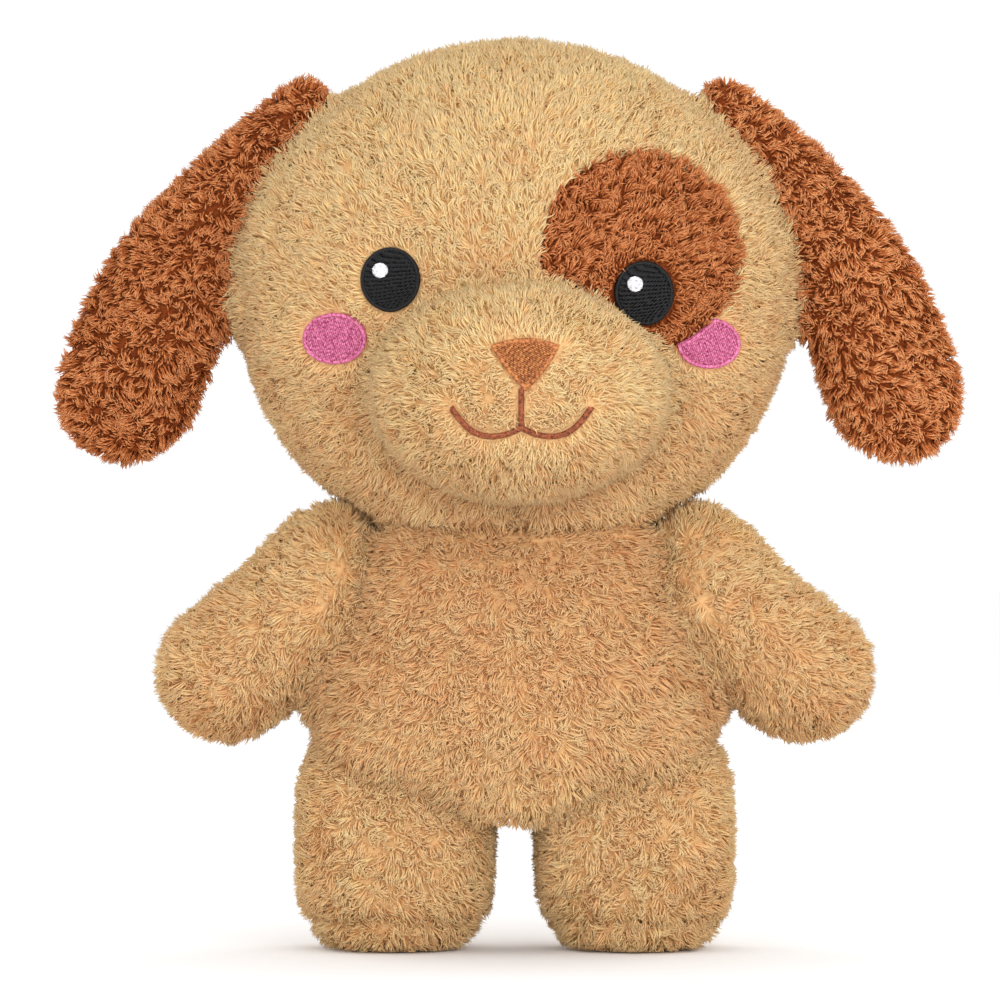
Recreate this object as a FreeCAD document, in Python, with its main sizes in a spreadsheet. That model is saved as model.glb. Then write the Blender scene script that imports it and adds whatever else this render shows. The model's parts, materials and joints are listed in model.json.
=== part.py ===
import FreeCAD, Part
import Sketcher

import math
import os

# Sewn and stuffed plush dog, standing. Millimetres. The dog faces -Y, its own left is +X,
# and the soles stand on z = 0. Every outer surface is the surface of the pile. The origin is
# under the middle of the whole toy, so the plane of the side seams stands a little behind it.
# Names that start with "left" are built, and the right side is their mirror image.

DIMENSIONS = {
    # How far the plane of the side seams stands behind the origin.
    "seam_plane_setback": 10.0,
    # Cloth: thickness of a panel with its pile, and the gaps between pieces.
    "panel_thickness": 5.0,
    "stuffing_gap": 0.3,
    "seam_gap": 0.5,
    # Head, one ellipsoid.
    "head_half_width": 78.0,
    "head_half_depth": 53.0,
    "head_half_height": 71.5,
    "head_centre_height": 181.0,
    # Neck: the head rocks in a cup in the top of the torso.
    "nod_height": 152.5,
    "neck_cup_half_width": 64.0,
    "neck_cup_radius": 43.5,
    # Muzzle, an ellipsoid set into the face.
    "muzzle_side": 1.0,
    "muzzle_forward": 43.0,
    "muzzle_height": 156.0,
    "muzzle_half_width": 42.5,
    "muzzle_half_depth": 30.0,
    "muzzle_half_height": 31.0,
    # Embroidery: how deep its face and its back lie under the pile, and the highlight's face.
    "stitch_face_depth": 2.2,
    "stitch_back_depth": 4.2,
    "highlight_face_depth": 1.2,
    # Eyes, oval, and the round highlight on each.
    "eye_half_width": 8.0,
    "eye_half_height": 8.6,
    "left_eye_side": 35.0,
    "left_eye_height": 183.9,
    "right_eye_side": -34.0,
    "right_eye_height": 187.6,
    "highlight_half_width": 2.1,
    "highlight_half_height": 2.0,
    "highlight_shift_side": -2.6,
    "highlight_shift_height": 2.4,
    # Eye patch, round, about the dog's left eye.
    "patch_side": 33.7,
    "patch_height": 193.5,
    "patch_radius": 27.0,
    # Cheeks, oval.
    "cheek_half_width": 8.6,
    "cheek_half_height": 6.8,
    "left_cheek_side": 53.0,
    "left_cheek_height": 169.4,
    "right_cheek_side": -49.4,
    "right_cheek_height": 170.6,
    # Nose, a rounded triangle with its point down.
    "nose_side": 2.6,
    "nose_top_height": 171.5,
    "nose_half_width": 11.5,
    "nose_drop": 15.5,
    "nose_corner_radius": 2.5,
    # Mouth: two arcs of one ring size, and the line from the nose to where they meet.
    "mouth_line_half_width": 0.7,
    "mouth_centre_side": 1.3,
    "mouth_meet_height": 145.8,
    "mouth_arc_radius": 12.2,
    "mouth_arc_side": 9.4,
    "mouth_arc_rise": 8.0,
    "mouth_arc_start": 225.0,
    "mouth_arc_sweep": 124.0,
    # Torso: a wide upper dome on a shallow bowl.
    "torso_half_width": 61.5,
    "torso_half_depth": 40.0,
    "torso_waist_height": 62.0,
    "torso_dome_height": 74.0,
    "torso_bowl_depth": 30.0,
    # Arm: a tapered capsule from the shoulder ball down to the hand.
    "shoulder_side": 52.0,
    "shoulder_height": 97.0,
    "shoulder_radius": 23.0,
    "hand_radius": 20.0,
    "arm_length": 34.5,
    "arm_droop": 33.5,
    "dish_start_side": 41.0,
    "dish_start_radius": 21.4,
    "dish_depth": 26.0,
    "dish_end_radius": 35.7,
    # Leg: an upright round foot under a barrel that lies along the hip axis.
    "hip_side": 34.5,
    "hip_height": 30.0,
    "leg_half_width": 27.5,
    "barrel_radius": 28.0,
    "barrel_edge_radius": 14.0,
    "foot_edge_radius": 15.0,
    "sole_seam_height": 9.0,
    # Ear: a flat blade in the plane of the side seam, with a full round edge.
    "ear_root_centre_side": 8.4,
    "ear_root_centre_height": 180.1,
    "ear_root_radius": 71.2,
    "ear_top_angle": 49.0,
    "ear_tip_side": 107.0,
    "ear_tip_height": 156.5,
    "ear_tip_radius": 19.3,
    "ear_outer_radius": 140.0,
    "ear_outer_centre_side": -10.0,
    "ear_inner_lean": 19.0,
    "ear_half_thickness": 9.3,
    "ear_edge_radius": 7.2,
    "ear_corner_radius": 7.4,
    # Room beyond the toy, for the boxes and bars that divide its solids.
    "reach": 160.0,
}

document = FreeCAD.newDocument("plush_dog")
sheet = document.addObject("Spreadsheet::Sheet", "Dims")
for row, (alias, value) in enumerate(DIMENSIONS.items(), start=1):
    sheet.set(f"A{row}", alias)
    sheet.set(f"B{row}", str(value))
    sheet.setAlias(f"B{row}", alias)
document.recompute()


def dim(alias, extra="0"):
    """Expression for a cell of the sheet plus an extra term."""
    return f"Dims.{alias} + ({extra})"


def less(alias, inset):
    """Expression for a cell of the sheet, less an inset."""
    return f"Dims.{alias} - ({inset})"


def mirrored(expression):
    """The same expression on the other side of the toy."""
    return f"-({expression})"


def make(kind, name, sizes, at=("0", "0", "0")):
    """Add a Part primitive whose sizes and place are expressions. y is from the seam plane."""
    item = document.addObject(kind, name)
    for key, expression in sizes.items():
        item.setExpression(key, expression)
    side, forward, height = at
    item.setExpression("Placement.Base.x", side)
    item.setExpression("Placement.Base.y", dim("seam_plane_setback", forward))
    item.setExpression("Placement.Base.z", height)
    return item


def turn(item, axis, angle):
    """Turn an item about an axis through its own base by an angle expression or number."""
    item.Placement = FreeCAD.Placement(item.Placement.Base, FreeCAD.Rotation(axis, 1))
    item.setExpression("Placement.Rotation.Angle", str(angle))
    return item


def ellipsoid(name, half_sizes, at, low="-90", high="90"):
    half_x, half_y, half_z = half_sizes
    sizes = {"Radius1": half_z, "Radius2": half_x, "Radius3": half_y, "Angle1": low, "Angle2": high}
    return make("Part::Ellipsoid", name, sizes, at)


def sphere(name, radius, at):
    return make("Part::Sphere", name, {"Radius": radius}, at)


def bar(name, radius, length, at):
    """Round bar that runs along +X from its place."""
    item = make("Part::Cylinder", name, {"Radius": radius, "Height": length}, at)
    return turn(item, FreeCAD.Vector(0, 1, 0), 90)


def block(name, low, high):
    """Box between two corners, each given as three expressions."""
    sizes = {key: f"({b}) - ({a})" for key, a, b in zip(("Length", "Width", "Height"), low, high)}
    return make("Part::Box", name, sizes, low)


def cut(name, base, tool):
    item = document.addObject("Part::Cut", name)
    item.Base = base
    item.Tool = tool
    return item


def common(name, base, tool):
    item = document.addObject("Part::Common", name)
    item.Base = base
    item.Tool = tool
    return item


def fuse(name, items):
    item = document.addObject("Part::MultiFuse", name)
    item.Shapes = items
    return item


def fillet(name, base, radius, chosen):
    """Round the edges of base for which chosen(edge) is true."""
    document.recompute()
    item = document.addObject("Part::Fillet", name)
    item.Base = base
    edges = base.Shape.Edges
    item.Edges = [(n, radius, radius) for n, edge in enumerate(edges, start=1) if chosen(edge)]
    return item


def mirror(name, item):
    twin = document.addObject("Part::Mirroring", name)
    twin.Source = item
    twin.Normal = FreeCAD.Vector(1, 0, 0)
    return twin


SUBPARTS = []
UPRIGHT = FreeCAD.Rotation(FreeCAD.Vector(1, 0, 0), 90)


def subpart(label, item):
    """Name a finished piece. Its label is the name of its node and of its file."""
    item.Label = label
    SUBPARTS.append(item)
    return item


def both_sides(pattern, left):
    """Name a left piece and its mirror image. pattern holds {} where the side goes."""
    subpart(pattern.format("left"), left)
    subpart(pattern.format("right"), mirror("Mirror_" + left.Name, left))


# Insets of the three nested forms of each limb: the pile, the inside of the cloth, the stuffing.
OUTER = "0"
LINING = "Dims.panel_thickness"
STUFFING = "Dims.panel_thickness + Dims.stuffing_gap"

def along_y(edge):
    """True for a straight edge that runs front to back."""
    return edge.Curve.TypeId == "Part::GeomLine" and abs(edge.Curve.Direction.y) > 0.999


def is_circle(edge):
    return edge.Curve.TypeId == "Part::GeomCircle"


def is_lowest_circle(edge):
    """True for a level circle below the hips."""
    return is_circle(edge) and edge.CenterOfMass.z < sheet.hip_height - sheet.panel_thickness


def inset_value(inset):
    """The number that an inset expression stands for."""
    values = {OUTER: 0.0, LINING: sheet.panel_thickness}
    return values.get(inset, sheet.panel_thickness + sheet.stuffing_gap)


BIG = "Dims.reach"
TOP = "2 * Dims.reach"
FRONT_HALF = block("FrontHalf", (f"-{BIG}", f"-{BIG}", f"-{BIG}"), (BIG, "0", TOP))
BACK_HALF = block("BackHalf", (f"-{BIG}", "0", f"-{BIG}"), (BIG, BIG, TOP))
BACK_LEFT = block("BackLeft", ("0", "0", f"-{BIG}"), (BIG, BIG, TOP))
BACK_RIGHT = block("BackRight", (f"-{BIG}", "0", f"-{BIG}"), ("0", BIG, TOP))


# ---------------------------------------------------------------- torso

def shoulder_socket(name, side, inset):
    """Ball socket and the conical dish that the arm sweeps. side is 1 or -1."""
    height = dim("shoulder_height")
    ball_radius = dim("shoulder_radius", f"Dims.seam_gap + {inset}")
    ball = sphere(name + "Ball", ball_radius, (f"{side} * Dims.shoulder_side", "0", height))
    radii = {
        "Radius1": dim("dish_start_radius", inset),
        "Radius2": dim("dish_end_radius", inset),
        "Height": dim("dish_depth"),
    }
    dish = make("Part::Cone", name + "Dish", radii, (f"{side} * Dims.dish_start_side", "0", height))
    turn(dish, FreeCAD.Vector(0, 1, 0), 90 * side)
    return [ball, dish]


def torso_form(name, inset):
    """Torso solid pulled in by an inset, with its neck cup, shoulder sockets and hip cups."""
    wide = less("torso_half_width", inset)
    deep = less("torso_half_depth", inset)
    at = ("0", "0", dim("torso_waist_height"))
    dome = ellipsoid(name + "Dome", (wide, deep, less("torso_dome_height", inset)), at, low="0")
    bowl = ellipsoid(name + "Bowl", (wide, deep, less("torso_bowl_depth", inset)), at, high="0")
    body = fuse(name + "Body", [dome, bowl])

    cup_radius = dim("neck_cup_radius", inset)
    cup_sizes = (dim("neck_cup_half_width", inset), cup_radius, cup_radius)
    hollows = [ellipsoid(name + "NeckCup", cup_sizes, ("0", "0", dim("nod_height")))]
    hollows += shoulder_socket(name + "LeftSocket", 1, inset)
    hollows += shoulder_socket(name + "RightSocket", -1, inset)

    hip_radius = dim("barrel_radius", f"Dims.seam_gap + {inset}")
    if inset == OUTER:
        inner_end = "Dims.hip_side - Dims.leg_half_width - Dims.seam_gap"
        starts = [inner_end, f"-{BIG}"]
        length = f"{BIG} - ({inner_end})"
    else:
        starts = [f"-{BIG}"]
        length = f"2 * {BIG}"
    for number, start in enumerate(starts):
        place = (start, "0", dim("hip_height"))
        hollows.append(bar(f"{name}HipCup{number}", hip_radius, length, place))
    return cut(name, body, fuse(name + "Hollows", hollows))


def build_torso():
    shell = cut("TorsoShell", torso_form("TorsoOuter", OUTER), torso_form("TorsoLining", LINING))
    subpart("torso_front_panel", common("TorsoFront", shell, FRONT_HALF))
    subpart("torso_back_left_panel", common("TorsoBackLeft", shell, BACK_LEFT))
    subpart("torso_back_right_panel", common("TorsoBackRight", shell, BACK_RIGHT))
    subpart("torso_stuffing", torso_form("TorsoStuffing", STUFFING))


# ---------------------------------------------------------------- head

def head_form(name, inset):
    halves = [less(f"head_half_{way}", inset) for way in ("width", "depth", "height")]
    return ellipsoid(name, halves, ("0", "0", dim("head_centre_height")))


def muzzle_form(name, inset):
    halves = [less(f"muzzle_half_{way}", inset) for way in ("width", "depth", "height")]
    at = (dim("muzzle_side"), mirrored(dim("muzzle_forward")), dim("muzzle_height"))
    return ellipsoid(name, halves, at)


def forward_prism(name, base):
    """Prism from a flat outline inside the head forward through the face."""
    item = document.addObject("Part::Extrusion", name)
    item.Base = base
    item.DirMode = "Custom"
    item.Dir = FreeCAD.Vector(0, -1, 0)
    item.setExpression("LengthFwd", BIG)
    item.Solid = True
    return item


def oval_prism(name, half_width, half_height, side, height):
    """Elliptic prism along -Y."""
    upright = sheet.get(half_height) > sheet.get(half_width)
    halves = (half_height, half_width) if upright else (half_width, half_height)
    radii = {"MajorRadius": dim(halves[0]), "MinorRadius": dim(halves[1])}
    oval = make("Part::Ellipse", name + "Oval", radii, (side, "0", height))
    facing = UPRIGHT * FreeCAD.Rotation(FreeCAD.Vector(0, 0, 1), 90 if upright else 0)
    oval.Placement = FreeCAD.Placement(oval.Placement.Base, facing)
    return forward_prism(name, oval)


def bind_point(sketch, line, end, side, height):
    """Hold one end of a line in a sketch at a place given by two expressions."""
    for kind, expression in (("DistanceX", side), ("DistanceY", height)):
        point = sketch.getPoint(line, end)
        value = point.x if kind == "DistanceX" else point.y
        number = sketch.addConstraint(Sketcher.Constraint(kind, -1, 1, line, end, value))
        sketch.setExpression(f"Constraints[{number}]", expression)


def nose_prism():
    """Triangle with its point down and its three corners rounded."""
    sketch = document.addObject("Sketcher::SketchObject", "NoseOutline")
    sketch.Placement = FreeCAD.Placement(FreeCAD.Vector(0, 0, 0), UPRIGHT)
    low = sheet.nose_top_height - sheet.nose_drop
    corners = [
        (sheet.nose_side - sheet.nose_half_width, sheet.nose_top_height),
        (sheet.nose_side, low),
        (sheet.nose_side + sheet.nose_half_width, sheet.nose_top_height),
    ]
    for start, end in zip(corners, corners[1:] + corners[:1]):
        sketch.addGeometry(Part.LineSegment(FreeCAD.Vector(*start, 0), FreeCAD.Vector(*end, 0)))
    for line in range(3):
        sketch.addConstraint(Sketcher.Constraint("Coincident", line, 2, (line + 1) % 3, 1))
    bind_point(sketch, 0, 1, less("nose_side", "Dims.nose_half_width"), dim("nose_top_height"))
    bind_point(sketch, 1, 1, dim("nose_side"), less("nose_top_height", "Dims.nose_drop"))
    bind_point(sketch, 2, 1, dim("nose_side", "Dims.nose_half_width"), dim("nose_top_height"))
    prism = forward_prism("NosePrism", sketch)
    return fillet("NoseRounded", prism, sheet.nose_corner_radius, along_y)


def mouth_arc(name, side):
    """Part of a ring about an axis along Y, one half of the smile. side is 1 or -1."""
    centre = (
        dim("mouth_centre_side", f"{side} * Dims.mouth_arc_side"),
        "0",
        dim("mouth_meet_height", "Dims.mouth_arc_rise"),
    )
    start = sheet.mouth_arc_start
    if side > 0:
        start = 540 - start - sheet.mouth_arc_sweep
    discs = []
    for edge, sign in (("Outer", "+"), ("Inner", "-")):
        sizes = {
            "Radius": f"Dims.mouth_arc_radius {sign} Dims.mouth_line_half_width",
            "Height": BIG,
            "Angle": "Dims.mouth_arc_sweep",
        }
        disc = make("Part::Cylinder", name + edge, sizes, centre)
        facing = UPRIGHT * FreeCAD.Rotation(FreeCAD.Vector(0, 0, 1), start)
        disc.Placement = FreeCAD.Placement(disc.Placement.Base, facing)
        discs.append(disc)
    return cut(name, *discs)


def mouth_prism():
    """Two arcs of the smile and the line that joins them to the nose."""
    half = "Dims.mouth_line_half_width"
    low = (less("mouth_centre_side", half), f"-{BIG}", less("mouth_meet_height", half))
    high = (dim("mouth_centre_side", half), "0", "Dims.nose_top_height - Dims.nose_drop")
    line = block("MouthLine", low, high)
    return fuse("MouthPrism", [line, mouth_arc("SmileLeft", 1), mouth_arc("SmileRight", -1)])


def stitched(label, prism, layer):
    """Embroidery: the part of a layer of the pile that lies inside a prism."""
    return subpart(label, common("Stitched_" + label, prism, layer))


def build_face(head_shell, head_layer, highlight_layer, head_back):
    """Eye patch, eyes, highlights and cheeks, and the front panel with their pockets."""
    round_patch = {"Radius": dim("patch_radius"), "Height": BIG}
    patch_place = (dim("patch_side"), "0", dim("patch_height"))
    patch_prism = make("Part::Cylinder", "PatchPrism", round_patch, patch_place)
    patch_prism.Placement = FreeCAD.Placement(patch_prism.Placement.Base, UPRIGHT)

    eyes = {}
    cheeks = {}
    for side in ("left", "right"):
        place = (dim(f"{side}_eye_side"), dim(f"{side}_eye_height"))
        eyes[side] = oval_prism(f"Eye_{side}", "eye_half_width", "eye_half_height", *place)
        shine_place = (
            dim(f"{side}_eye_side", "Dims.highlight_shift_side"),
            dim(f"{side}_eye_height", "Dims.highlight_shift_height"),
        )
        shine = oval_prism(
            f"Shine_{side}", "highlight_half_width", "highlight_half_height", *shine_place
        )
        stitched(f"eye_{side}", eyes[side], head_layer)
        stitched(f"eye_highlight_{side}", shine, highlight_layer)
        place = (dim(f"{side}_cheek_side"), dim(f"{side}_cheek_height"))
        cheeks[side] = oval_prism(f"Cheek_{side}", "cheek_half_width", "cheek_half_height", *place)
    cheeks["left"] = cut("CheekBesidePatch", cheeks["left"], patch_prism)
    for side in ("left", "right"):
        stitched(f"cheek_{side}", cheeks[side], head_layer)

    patch_pocket = cut("PatchPocket", eyes["left"], head_back)
    patch_cloth = common("PatchCloth", head_shell, patch_prism)
    subpart("eye_patch", cut("PatchWithPocket", patch_cloth, patch_pocket))

    in_front_panel = fuse("FrontTrims", [eyes["right"], cheeks["left"], cheeks["right"]])
    front_pockets = cut("FrontPockets", in_front_panel, head_back)
    front_holes = fuse("FrontHoles", [front_pockets, patch_prism])
    front_cloth = common("HeadFrontCloth", head_shell, FRONT_HALF)
    subpart("head_front_panel", cut("HeadFront", front_cloth, front_holes))


def build_muzzle(head_outer):
    """Muzzle cloth sewn over the face, its stuffing, the nose and the mouth."""
    proud = cut("MuzzleProud", muzzle_form("MuzzleOuter", OUTER), head_outer)
    shell = cut("MuzzleShell", proud, muzzle_form("MuzzleLining", LINING))
    face = muzzle_form("MuzzleStitchFace", "Dims.stitch_face_depth")
    back = muzzle_form("MuzzleStitchBack", "Dims.stitch_back_depth")
    front = block("MuzzleFrontRoom", (f"-{BIG}", f"-{BIG}", "0"), (BIG, "-Dims.muzzle_forward", TOP))
    layer = cut("MuzzleLayer", common("MuzzleFrontFace", face, front), back)
    nose = nose_prism()
    mouth = mouth_prism()
    stitched("nose", nose, layer)
    stitched("mouth", cut("MouthBelowNose", mouth, nose), layer)
    trims = common("MuzzleTrims", fuse("MuzzlePrisms", [nose, mouth]), front)
    pockets = cut("MuzzlePockets", trims, back)
    subpart("muzzle_panel", cut("MuzzleCloth", shell, pockets))
    core = muzzle_form("MuzzleStuffing", STUFFING)
    head_cover = head_form("HeadCover", mirrored("Dims.stuffing_gap"))
    subpart("muzzle_stuffing", cut("MuzzleCore", core, head_cover))


def build_head():
    outer = head_form("HeadOuter", OUTER)
    shell = cut("HeadShell", outer, head_form("HeadLining", LINING))
    subpart("head_back_left_panel", common("HeadBackLeft", shell, BACK_LEFT))
    subpart("head_back_right_panel", common("HeadBackRight", shell, BACK_RIGHT))
    subpart("head_stuffing", head_form("HeadStuffing", STUFFING))
    shine_face = head_form("ShineFace", "Dims.highlight_face_depth")
    face = head_form("StitchFace", "Dims.stitch_face_depth")
    back = head_form("StitchBack", "Dims.stitch_back_depth")
    build_face(shell, cut("StitchLayer", face, back), cut("ShineLayer", shine_face, face), back)
    build_muzzle(outer)


# ---------------------------------------------------------------- arms

def arm_form(name, inset):
    """Left arm pulled in by an inset: two balls and the cone that touches both."""
    big = less("shoulder_radius", inset)
    small = less("hand_radius", inset)
    slope = "(Dims.shoulder_radius - Dims.hand_radius) / Dims.arm_length"
    round_off = f"sqrt(1 - ({slope})^2)"
    start = f"({big}) * {slope}"
    end = f"Dims.arm_length + ({small}) * {slope}"
    sizes = {
        "Radius1": f"({big}) * {round_off}",
        "Radius2": f"({small}) * {round_off}",
        "Height": f"({end}) - ({start})",
    }
    shoulder = sphere(name + "Shoulder", big, ("0", "0", "0"))
    hand = sphere(name + "Hand", small, ("0", "0", dim("arm_length")))
    sleeve = make("Part::Cone", name + "Sleeve", sizes, ("0", "0", start))
    arm = fuse(name, [shoulder, hand, sleeve])
    down_and_out = FreeCAD.Rotation(FreeCAD.Vector(0, 1, 0), 90 + sheet.arm_droop)
    arm.Placement = FreeCAD.Placement(FreeCAD.Vector(0, 0, 0), down_and_out)
    arm.setExpression("Placement.Base.x", dim("shoulder_side"))
    arm.setExpression("Placement.Base.z", dim("shoulder_height"))
    return arm


def build_arms():
    shell = cut("ArmShell", arm_form("ArmOuter", OUTER), arm_form("ArmLining", LINING))
    both_sides("arm_{}_front_panel", common("ArmFront", shell, FRONT_HALF))
    both_sides("arm_{}_back_panel", common("ArmBack", shell, BACK_HALF))
    both_sides("arm_{}_stuffing", arm_form("ArmStuffing", STUFFING))


# ---------------------------------------------------------------- legs

def leg_form(name, inset):
    """Left leg pulled in by an inset: an upright foot under a barrel along the hip axis."""
    half = less("leg_half_width", inset)
    start = f"Dims.hip_side - ({half})"
    barrel_place = (start, "0", dim("hip_height"))
    barrel = bar(name + "Bar", less("barrel_radius", inset), f"2 * ({half})", barrel_place)
    pull = inset_value(inset)
    barrel = fillet(name + "Barrel", barrel, sheet.barrel_edge_radius - pull, is_circle)
    foot_sizes = {"Radius": half, "Height": less("hip_height", inset)}
    foot = make("Part::Cylinder", name + "Column", foot_sizes, (dim("hip_side"), "0", inset))
    foot = fillet(name + "Foot", foot, sheet.foot_edge_radius - pull, is_lowest_circle)
    return fuse(name, [barrel, foot])


def build_legs():
    shell = cut("LegShell", leg_form("LegOuter", OUTER), leg_form("LegLining", LINING))
    seam = dim("sole_seam_height")
    low = block("SoleBand", (f"-{BIG}", f"-{BIG}", f"-{BIG}"), (BIG, BIG, seam))
    upper = cut("LegUpper", shell, low)
    both_sides("leg_{}_front_panel", common("LegFront", upper, FRONT_HALF))
    both_sides("leg_{}_back_panel", common("LegBack", upper, BACK_HALF))
    both_sides("leg_{}_sole", common("LegSole", shell, low))
    both_sides("leg_{}_stuffing", leg_form("LegStuffing", STUFFING))


# ---------------------------------------------------------------- ears

def meet_circle(start, direction, centre, radius):
    """First point where a ray from start meets a circle. direction is a unit vector."""
    run = (start[0] - centre[0], start[1] - centre[1])
    along = run[0] * direction[0] + run[1] * direction[1]
    beyond = run[0] ** 2 + run[1] ** 2 - radius**2
    near = -along - math.sqrt(along**2 - beyond)
    far = -along + math.sqrt(along**2 - beyond)
    step = near if near > 0 else far
    return (start[0] + step * direction[0], start[1] + step * direction[1])


def ear_outline(pull):
    """Corner points of the left ear's outline pulled in, and the centres of its arcs."""
    root = (sheet.ear_root_centre_side, sheet.ear_root_centre_height)
    tip = (sheet.ear_tip_side, sheet.ear_tip_height)
    root_radius = sheet.ear_root_radius + pull
    tip_radius = sheet.ear_tip_radius - pull
    outer_radius = sheet.ear_outer_radius - pull
    # The tip arc and the outer arc touch on the line through their centres.
    apart = outer_radius - tip_radius
    across = tip[0] - sheet.ear_outer_centre_side
    outer = (sheet.ear_outer_centre_side, tip[1] - math.sqrt(apart**2 - across**2))
    tip_outer = tuple(t + (t - o) * tip_radius / apart for t, o in zip(tip, outer))
    # The inner edge climbs from the tip arc until it meets the root arc.
    lean = math.radians(sheet.ear_inner_lean)
    low = (tip[0] - tip_radius * math.cos(lean), tip[1] - tip_radius * math.sin(lean))
    root_low = meet_circle(low, (-math.sin(lean), math.cos(lean)), root, root_radius)
    # The top edge runs straight out from the root arc to the outer arc.
    rise = math.radians(sheet.ear_top_angle)
    outward = (math.cos(rise), math.sin(rise))
    edge = (-outward[1] * pull, outward[0] * pull)
    start = (root[0] - edge[0], root[1] - edge[1])
    root_top = meet_circle(start, outward, root, root_radius)
    outer_top = meet_circle(start, outward, outer, outer_radius)
    return {
        "root": root,
        "tip": tip,
        "outer": outer,
        "low": low,
        "root_low": root_low,
        "root_top": root_top,
        "outer_top": outer_top,
        "tip_outer": tip_outer,
    }


def arc_between(centre, start, end):
    """Arc of a circle about centre that runs anticlockwise from start to end."""
    radius = math.dist(centre, start)
    angles = [math.atan2(p[1] - centre[1], p[0] - centre[0]) for p in (start, end)]
    circle = Part.Circle(FreeCAD.Vector(*centre, 0), FreeCAD.Vector(0, 0, 1), radius)
    return Part.ArcOfCircle(circle, *angles)


def straight(start, end):
    return Part.LineSegment(FreeCAD.Vector(*start, 0), FreeCAD.Vector(*end, 0)).toShape()


def is_corner(edge, spot):
    """True for an edge across the blade at one of the outline's sharp corners."""
    middle = edge.CenterOfMass
    corners = (spot["root_low"], spot["root_top"], spot["outer_top"])
    return any(math.dist((middle.x, middle.y), corner) < 0.01 for corner in corners)


def is_rim(edge, thickness):
    """True for an edge in one of the blade's two flat faces."""
    box = edge.BoundBox
    return box.ZLength < 0.01 and (abs(box.ZMin) < 0.01 or abs(box.ZMin - thickness) < 0.01)


def ear_form(name, inset):
    """Left ear pulled in by an inset: a blade of the outline with its whole edge rounded."""
    pull = inset_value(inset)
    spot = ear_outline(pull)
    edges = [
        arc_between(spot["root"], spot["root_low"], spot["root_top"]).toShape(),
        straight(spot["root_low"], spot["low"]),
        arc_between(spot["tip"], spot["low"], spot["tip_outer"]).toShape(),
        arc_between(spot["outer"], spot["tip_outer"], spot["outer_top"]).toShape(),
        straight(spot["outer_top"], spot["root_top"]),
    ]
    face = Part.Face(Part.Wire(Part.__sortEdges__(edges)))
    half = sheet.ear_half_thickness - pull
    back = sheet.seam_plane_setback + half
    blade = face.extrude(FreeCAD.Vector(0, 0, 2 * half))
    corners = [edge for edge in blade.Edges if is_corner(edge, spot)]
    blade = blade.makeFillet(sheet.ear_corner_radius - pull, corners)
    rims = [edge for edge in blade.Edges if is_rim(edge, 2 * half)]
    blade = blade.makeFillet(sheet.ear_edge_radius - pull, rims)
    item = document.addObject("Part::Feature", name)
    item.Shape = blade
    item.Placement = FreeCAD.Placement(FreeCAD.Vector(0, back, 0), UPRIGHT)
    return item


def build_ears():
    shell = cut("EarShell", ear_form("EarOuter", OUTER), ear_form("EarLining", LINING))
    both_sides("ear_{}_front_panel", common("EarFront", shell, FRONT_HALF))
    both_sides("ear_{}_back_panel", common("EarBack", shell, BACK_HALF))
    both_sides("ear_{}_stuffing", ear_form("EarStuffing", STUFFING))


# ---------------------------------------------------------------- the whole toy

def check_document():
    """Stop on any failed object and on any sub-part without a sound solid."""
    for item in document.Objects:
        if "Invalid" in item.State or "Error" in item.State:
            raise RuntimeError(f"{item.Name} failed: {item.State}")
    for item in SUBPARTS:
        if item.Shape.isNull() or not item.Shape.isValid() or not item.Shape.Solids:
            raise RuntimeError(f"{item.Label} has no sound solid")


build_torso()
build_head()
build_arms()
build_legs()
build_ears()
document.recompute()
check_document()

os.makedirs("parts", exist_ok=True)
for item in SUBPARTS:
    item.Shape.exportStep(f"parts/{item.Label}.step")
print(f"{len(SUBPARTS)} sub-parts written")
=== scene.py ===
import json
import math

import bmesh
import bpy
import numpy as np
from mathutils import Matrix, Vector
from mathutils.bvhtree import BVHTree
from mathutils.kdtree import KDTree


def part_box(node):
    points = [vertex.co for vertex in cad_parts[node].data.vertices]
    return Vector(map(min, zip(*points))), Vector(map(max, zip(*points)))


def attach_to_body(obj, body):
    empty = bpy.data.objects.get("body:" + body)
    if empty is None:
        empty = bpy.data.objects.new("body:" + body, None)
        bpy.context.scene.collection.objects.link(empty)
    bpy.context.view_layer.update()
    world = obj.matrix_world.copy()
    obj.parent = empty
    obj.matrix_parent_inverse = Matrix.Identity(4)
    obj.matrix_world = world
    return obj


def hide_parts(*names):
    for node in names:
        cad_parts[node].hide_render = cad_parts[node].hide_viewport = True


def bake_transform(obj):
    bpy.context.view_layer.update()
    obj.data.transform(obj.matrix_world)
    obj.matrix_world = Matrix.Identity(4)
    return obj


# Looks of the sewn plush dog: a cloth skin, its pile, its embroidery and its filling, built
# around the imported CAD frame. Metres. The dog faces -Y and its own left is +X.

MM = 0.001
SEED = 11
SIDES = {"left": 1, "right": -1}

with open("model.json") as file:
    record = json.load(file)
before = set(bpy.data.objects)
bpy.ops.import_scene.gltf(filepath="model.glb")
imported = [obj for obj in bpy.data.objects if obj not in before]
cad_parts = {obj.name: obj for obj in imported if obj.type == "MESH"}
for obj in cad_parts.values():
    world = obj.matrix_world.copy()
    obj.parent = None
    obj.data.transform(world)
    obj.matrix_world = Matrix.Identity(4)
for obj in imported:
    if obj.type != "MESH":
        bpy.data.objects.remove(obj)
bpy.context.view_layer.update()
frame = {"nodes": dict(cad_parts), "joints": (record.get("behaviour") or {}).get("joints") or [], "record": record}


# -------- places taken from the frame

def centre_and_half(node):
    """Centre and half size of a CAD node's box, as arrays."""
    low, high = (np.array(corner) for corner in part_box(node))
    return (low + high) / 2, (high - low) / 2


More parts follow.
